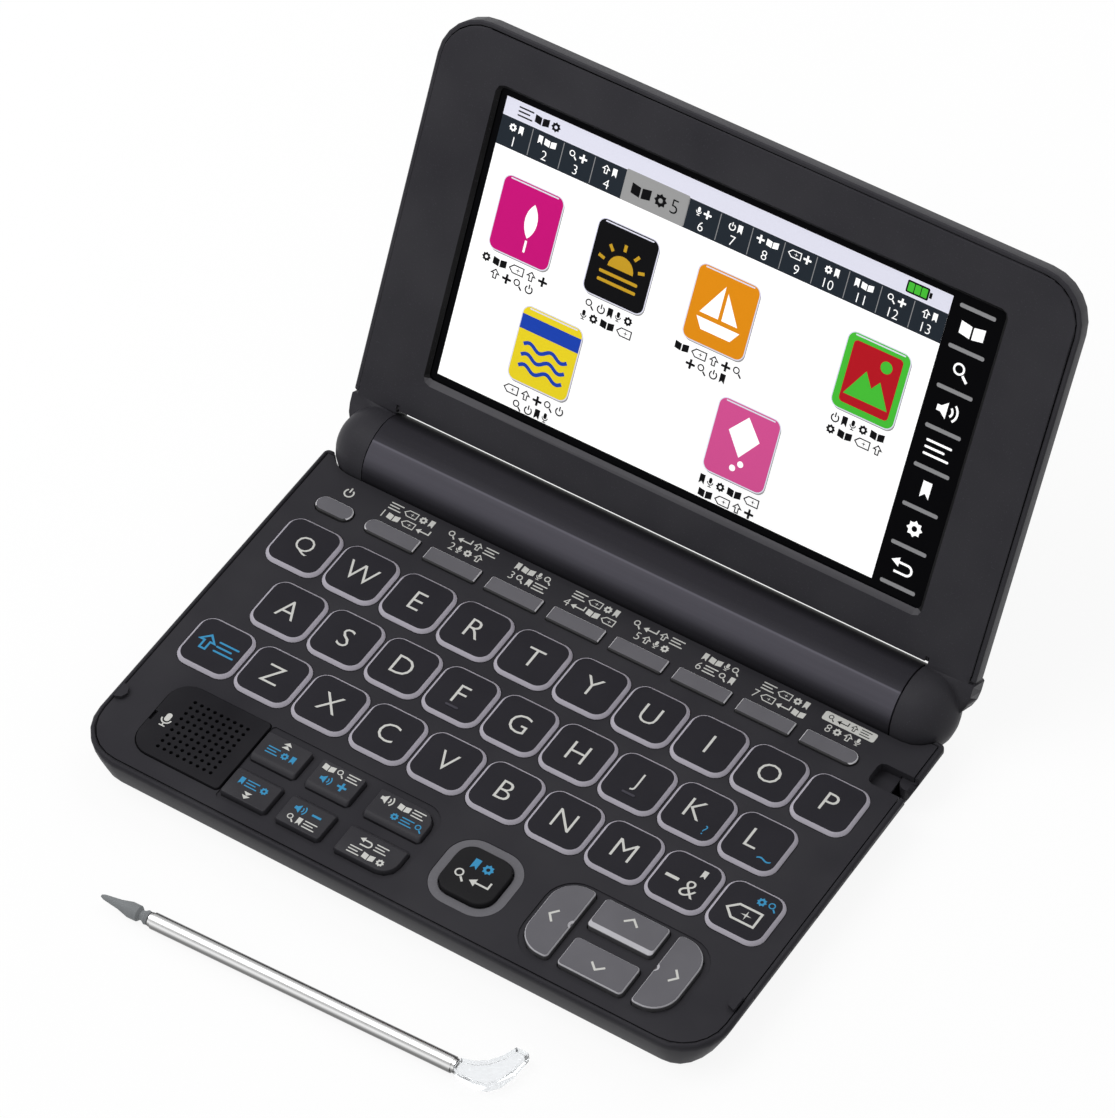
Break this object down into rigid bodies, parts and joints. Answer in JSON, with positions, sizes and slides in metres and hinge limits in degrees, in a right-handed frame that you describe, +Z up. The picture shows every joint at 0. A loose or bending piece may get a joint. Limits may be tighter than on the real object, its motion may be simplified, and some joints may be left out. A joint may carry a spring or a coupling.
{
  "type": "electronic dictionary",
  "caption": "Pocket electronic dictionary: letter keyboard and side keys in a thin base, battery barrel hinge, wide screen lid, loose touch pen.",
  "frame": {"origin": "centre of the flat underside of the base, 52 mm behind the front edge", "axes": "+X to the right along the hinge, +Y back towards the hinge, +Z up out of the keyboard"},
  "size_m": [0.148, 0.1708, 0.0921],
  "materials": {
    "case_plastic": "dark grey painted ABS, satin gloss",
    "lid_plastic": "dark grey painted ABS, satin gloss",
    "panel_plastic": "dark grey moulded ABS, fine satin",
    "barrel_plastic": "dark grey satin paint",
    "letter_key_plastic": "pale grey clear-edged key cap",
    "dark_key_plastic": "dark grey satin key cap",
    "grey_key_plastic": "mid grey satin key cap",
    "screen_glass": "black glass over the display",
    "speaker_steel": "black painted loudspeaker",
    "board_laminate": "green circuit board laminate",
    "mat_rubber": "grey silicone key mat",
    "cell_can": null,
    "pin_steel": "plain steel pin",
    "pen_steel": "bright polished steel tube",
    "pen_tip_plastic": "grey moulded nib",
    "pen_clear_plastic": "clear moulded head"
  },
  "bodies": {
    "base": {"bottom_case": "case_plastic", "deck_case": "case_plastic", "speaker_panel": "panel_plastic", "speaker_driver": "speaker_steel", "circuit_board": "board_laminate", "key_mat": "mat_rubber", "hinge_barrel": "barrel_plastic", "battery_left": "cell_can", "battery_right": "cell_can", "hinge_pin_left": "pin_steel", "hinge_pin_right": "pin_steel"},
    "lid": {"lid_frame": "lid_plastic", "lid_back_cover": "case_plastic", "display_panel": "screen_glass"},
    "battery_door": {"battery_cover": "case_plastic"},
    "pen": {"pen_tube": "pen_steel", "pen_tip": "pen_tip_plastic", "pen_head": "pen_clear_plastic"},
    "key_q_cap": {"key_q": "letter_key_plastic"},
    "key_w_cap": {"key_w": "letter_key_plastic"},
    "key_e_cap": {"key_e": "letter_key_plastic"},
    "key_r_cap": {"key_r": "letter_key_plastic"},
    "key_t_cap": {"key_t": "letter_key_plastic"},
    "key_y_cap": {"key_y": "letter_key_plastic"},
    "key_u_cap": {"key_u": "letter_key_plastic"},
    "key_i_cap": {"key_i": "letter_key_plastic"},
    "key_o_cap": {"key_o": "letter_key_plastic"},
    "key_p_cap": {"key_p": "letter_key_plastic"},
    "key_a_cap": {"key_a": "letter_key_plastic"},
    "key_s_cap": {"key_s": "letter_key_plastic"},
    "key_d_cap": {"key_d": "letter_key_plastic"},
    "key_f_cap": {"key_f": "letter_key_plastic"},
    "key_g_cap": {"key_g": "letter_key_plastic"},
    "key_h_cap": {"key_h": "letter_key_plastic"},
    "key_j_cap": {"key_j": "letter_key_plastic"},
    "key_k_cap": {"key_k": "letter_key_plastic"},
    "key_l_cap": {"key_l": "letter_key_plastic"},
    "key_shift_cap": {"key_shift": "letter_key_plastic"},
    "key_z_cap": {"key_z": "letter_key_plastic"},
    "key_x_cap": {"key_x": "letter_key_plastic"},
    "key_c_cap": {"key_c": "letter_key_plastic"},
    "key_v_cap": {"key_v": "letter_key_plastic"},
    "key_b_cap": {"key_b": "letter_key_plastic"},
    "key_n_cap": {"key_n": "letter_key_plastic"},
    "key_m_cap": {"key_m": "letter_key_plastic"},
    "key_dash_cap": {"key_dash": "letter_key_plastic"},
    "key_delete_cap": {"key_delete": "letter_key_plastic"},
    "control_key_up_1_cap": {"control_key_up_1": "dark_key_plastic"},
    "control_key_up_2_cap": {"control_key_up_2": "dark_key_plastic"},
    "control_key_up_3_cap": {"control_key_up_3": "dark_key_plastic"},
    "control_key_down_1_cap": {"control_key_down_1": "dark_key_plastic"},
    "control_key_down_2_cap": {"control_key_down_2": "dark_key_plastic"},
    "control_key_down_3_cap": {"control_key_down_3": "dark_key_plastic"},
    "power_key_cap": {"power_key": "grey_key_plastic"},
    "function_key_strip_cap": {"function_key_strip": "grey_key_plastic"},
    "enter_key_cap": {"enter_key": "dark_key_plastic"},
    "arrow_key_left_cap": {"arrow_key_left": "grey_key_plastic"},
    "arrow_key_right_cap": {"arrow_key_right": "grey_key_plastic"},
    "arrow_key_up_cap": {"arrow_key_up": "grey_key_plastic"},
    "arrow_key_down_cap": {"arrow_key_down": "grey_key_plastic"}
  },
  "joints": [
    {"name": "lid_hinge", "type": "hinge", "parent": "base", "child": "lid", "pos_m": [0, 0.043, 0.0087], "axis": [1, 0, 0], "range_deg": [-30, 118.6]},
    {"name": "battery_cover_slide", "type": "slide", "parent": "base", "child": "battery_door", "axis": [0, 1, 0], "range_m": [0, 0.012]},
    {"name": "pen_lift", "type": "slide", "parent": "base", "child": "pen", "axis": [0, 0, 1], "range_m": [0, 0.06]},
    {"name": "key_q_press", "type": "slide", "parent": "base", "child": "key_q_cap", "axis": [0, 0, -1], "range_m": [0, 0.00085], "stiffness_N_per_m": 600, "springref_m": -0.0003},
    {"name": "key_w_press", "type": "slide", "parent": "base", "child": "key_w_cap", "axis": [0, 0, -1], "range_m": [0, 0.00085], "stiffness_N_per_m": 600, "springref_m": -0.0003},
    {"name": "key_e_press", "type": "slide", "parent": "base", "child": "key_e_cap", "axis": [0, 0, -1], "range_m": [0, 0.00085], "stiffness_N_per_m": 600, "springref_m": -0.0003},
    {"name": "key_r_press", "type": "slide", "parent": "base", "child": "key_r_cap", "axis": [0, 0, -1], "range_m": [0, 0.00085], "stiffness_N_per_m": 600, "springref_m": -0.0003},
    {"name": "key_t_press", "type": "slide", "parent": "base", "child": "key_t_cap", "axis": [0, 0, -1], "range_m": [0, 0.00085], "stiffness_N_per_m": 600, "springref_m": -0.0003},
    {"name": "key_y_press", "type": "slide", "parent": "base", "child": "key_y_cap", "axis": [0, 0, -1], "range_m": [0, 0.00085], "stiffness_N_per_m": 600, "springref_m": -0.0003},
    {"name": "key_u_press", "type": "slide", "parent": "base", "child": "key_u_cap", "axis": [0, 0, -1], "range_m": [0, 0.00085], "stiffness_N_per_m": 600, "springref_m": -0.0003},
    {"name": "key_i_press", "type": "slide", "parent": "base", "child": "key_i_cap", "axis": [0, 0, -1], "range_m": [0, 0.00085], "stiffness_N_per_m": 600, "springref_m": -0.0003},
    {"name": "key_o_press", "type": "slide", "parent": "base", "child": "key_o_cap", "axis": [0, 0, -1], "range_m": [0, 0.00085], "stiffness_N_per_m": 600, "springref_m": -0.0003},
    {"name": "key_p_press", "type": "slide", "parent": "base", "child": "key_p_cap", "axis": [0, 0, -1], "range_m": [0, 0.00085], "stiffness_N_per_m": 600, "springref_m": -0.0003},
    {"name": "key_a_press", "type": "slide", "parent": "base", "child": "key_a_cap", "axis": [0, 0, -1], "range_m": [0, 0.00085], "stiffness_N_per_m": 600, "springref_m": -0.0003},
    {"name": "key_s_press", "type": "slide", "parent": "base", "child": "key_s_cap", "axis": [0, 0, -1], "range_m": [0, 0.00085], "stiffness_N_per_m": 600, "springref_m": -0.0003},
    {"name": "key_d_press", "type": "slide", "parent": "base", "child": "key_d_cap", "axis": [0, 0, -1], "range_m": [0, 0.00085], "stiffness_N_per_m": 600, "springref_m": -0.0003},
    {"name": "key_f_press", "type": "slide", "parent": "base", "child": "key_f_cap", "axis": [0, 0, -1], "range_m": [0, 0.00085], "stiffness_N_per_m": 600, "springref_m": -0.0003},
    {"name": "key_g_press", "type": "slide", "parent": "base", "child": "key_g_cap", "axis": [0, 0, -1], "range_m": [0, 0.00085], "stiffness_N_per_m": 600, "springref_m": -0.0003},
    {"name": "key_h_press", "type": "slide", "parent": "base", "child": "key_h_cap", "axis": [0, 0, -1], "range_m": [0, 0.00085], "stiffness_N_per_m": 600, "springref_m": -0.0003},
    {"name": "key_j_press", "type": "slide", "parent": "base", "child": "key_j_cap", "axis": [0, 0, -1], "range_m": [0, 0.00085], "stiffness_N_per_m": 600, "springref_m": -0.0003},
    {"name": "key_k_press", "type": "slide", "parent": "base", "child": "key_k_cap", "axis": [0, 0, -1], "range_m": [0, 0.00085], "stiffness_N_per_m": 600, "springref_m": -0.0003},
    {"name": "key_l_press", "type": "slide", "parent": "base", "child": "key_l_cap", "axis": [0, 0, -1], "range_m": [0, 0.00085], "stiffness_N_per_m": 600, "springref_m": -0.0003},
    {"name": "key_shift_press", "type": "slide", "parent": "base", "child": "key_shift_cap", "axis": [0, 0, -1], "range_m": [0, 0.00085], "stiffness_N_per_m": 600, "springref_m": -0.0003},
    {"name": "key_z_press", "type": "slide", "parent": "base", "child": "key_z_cap", "axis": [0, 0, -1], "range_m": [0, 0.00085], "stiffness_N_per_m": 600, "springref_m": -0.0003},
    {"name": "key_x_press", "type": "slide", "parent": "base", "child": "key_x_cap", "axis": [0, 0, -1], "range_m": [0, 0.00085], "stiffness_N_per_m": 600, "springref_m": -0.0003},
    {"name": "key_c_press", "type": "slide", "parent": "base", "child": "key_c_cap", "axis": [0, 0, -1], "range_m": [0, 0.00085], "stiffness_N_per_m": 600, "springref_m": -0.0003},
    {"name": "key_v_press", "type": "slide", "parent": "base", "child": "key_v_cap", "axis": [0, 0, -1], "range_m": [0, 0.00085], "stiffness_N_per_m": 600, "springref_m": -0.0003},
    {"name": "key_b_press", "type": "slide", "parent": "base", "child": "key_b_cap", "axis": [0, 0, -1], "range_m": [0, 0.00085], "stiffness_N_per_m": 600, "springref_m": -0.0003},
    {"name": "key_n_press", "type": "slide", "parent": "base", "child": "key_n_cap", "axis": [0, 0, -1], "range_m": [0, 0.00085], "stiffness_N_per_m": 600, "springref_m": -0.0003},
    {"name": "key_m_press", "type": "slide", "parent": "base", "child": "key_m_cap", "axis": [0, 0, -1], "range_m": [0, 0.00085], "stiffness_N_per_m": 600, "springref_m": -0.0003},
    {"name": "key_dash_press", "type": "slide", "parent": "base", "child": "key_dash_cap", "axis": [0, 0, -1], "range_m": [0, 0.00085], "stiffness_N_per_m": 600, "springref_m": -0.0003},
    {"name": "key_delete_press", "type": "slide", "parent": "base", "child": "key_delete_cap", "axis": [0, 0, -1], "range_m": [0, 0.00085], "stiffness_N_per_m": 600, "springref_m": -0.0003},
    {"name": "control_key_up_1_press", "type": "slide", "parent": "base", "child": "control_key_up_1_cap", "axis": [0, 0, -1], "range_m": [0, 0.00085], "stiffness_N_per_m": 600, "springref_m": -0.0003},
    {"name": "control_key_up_2_press", "type": "slide", "parent": "base", "child": "control_key_up_2_cap", "axis": [0, 0, -1], "range_m": [0, 0.00085], "stiffness_N_per_m": 600, "springref_m": -0.0003},
    {"name": "control_key_up_3_press", "type": "slide", "parent": "base", "child": "control_key_up_3_cap", "axis": [0, 0, -1], "range_m": [0, 0.00085], "stiffness_N_per_m": 600, "springref_m": -0.0003},
    {"name": "control_key_down_1_press", "type": "slide", "parent": "base", "child": "control_key_down_1_cap", "axis": [0, 0, -1], "range_m": [0, 0.00085], "stiffness_N_per_m": 600, "springref_m": -0.0003},
    {"name": "control_key_down_2_press", "type": "slide", "parent": "base", "child": "control_key_down_2_cap", "axis": [0, 0, -1], "range_m": [0, 0.00085], "stiffness_N_per_m": 600, "springref_m": -0.0003},
    {"name": "control_key_down_3_press", "type": "slide", "parent": "base", "child": "control_key_down_3_cap", "axis": [0, 0, -1], "range_m": [0, 0.00085], "stiffness_N_per_m": 600, "springref_m": -0.0003},
    {"name": "power_key_press", "type": "slide", "parent": "base", "child": "power_key_cap", "axis": [0, 0, -1], "range_m": [0, 0.00085], "stiffness_N_per_m": 600, "springref_m": -0.0003},
    {"name": "function_key_strip_press", "type": "slide", "parent": "base", "child": "function_key_strip_cap", "axis": [0, 0, -1], "range_m": [0, 0.00085], "stiffness_N_per_m": 600, "springref_m": -0.0003},
    {"name": "enter_key_press", "type": "slide", "parent": "base", "child": "enter_key_cap", "axis": [0, 0, -1], "range_m": [0, 0.00085], "stiffness_N_per_m": 600, "springref_m": -0.0003},
    {"name": "arrow_key_left_press", "type": "slide", "parent": "base", "child": "arrow_key_left_cap", "axis": [0, 0, -1], "range_m": [0, 0.00085], "stiffness_N_per_m": 600, "springref_m": -0.0003},
    {"name": "arrow_key_right_press", "type": "slide", "parent": "base", "child": "arrow_key_right_cap", "axis": [0, 0, -1], "range_m": [0, 0.00085], "stiffness_N_per_m": 600, "springref_m": -0.0003},
    {"name": "arrow_key_up_press", "type": "slide", "parent": "base", "child": "arrow_key_up_cap", "axis": [0, 0, -1], "range_m": [0, 0.00085], "stiffness_N_per_m": 600, "springref_m": -0.0003},
    {"name": "arrow_key_down_press", "type": "slide", "parent": "base", "child": "arrow_key_down_cap", "axis": [0, 0, -1], "range_m": [0, 0.00085], "stiffness_N_per_m": 600, "springref_m": -0.0003}
  ]
}
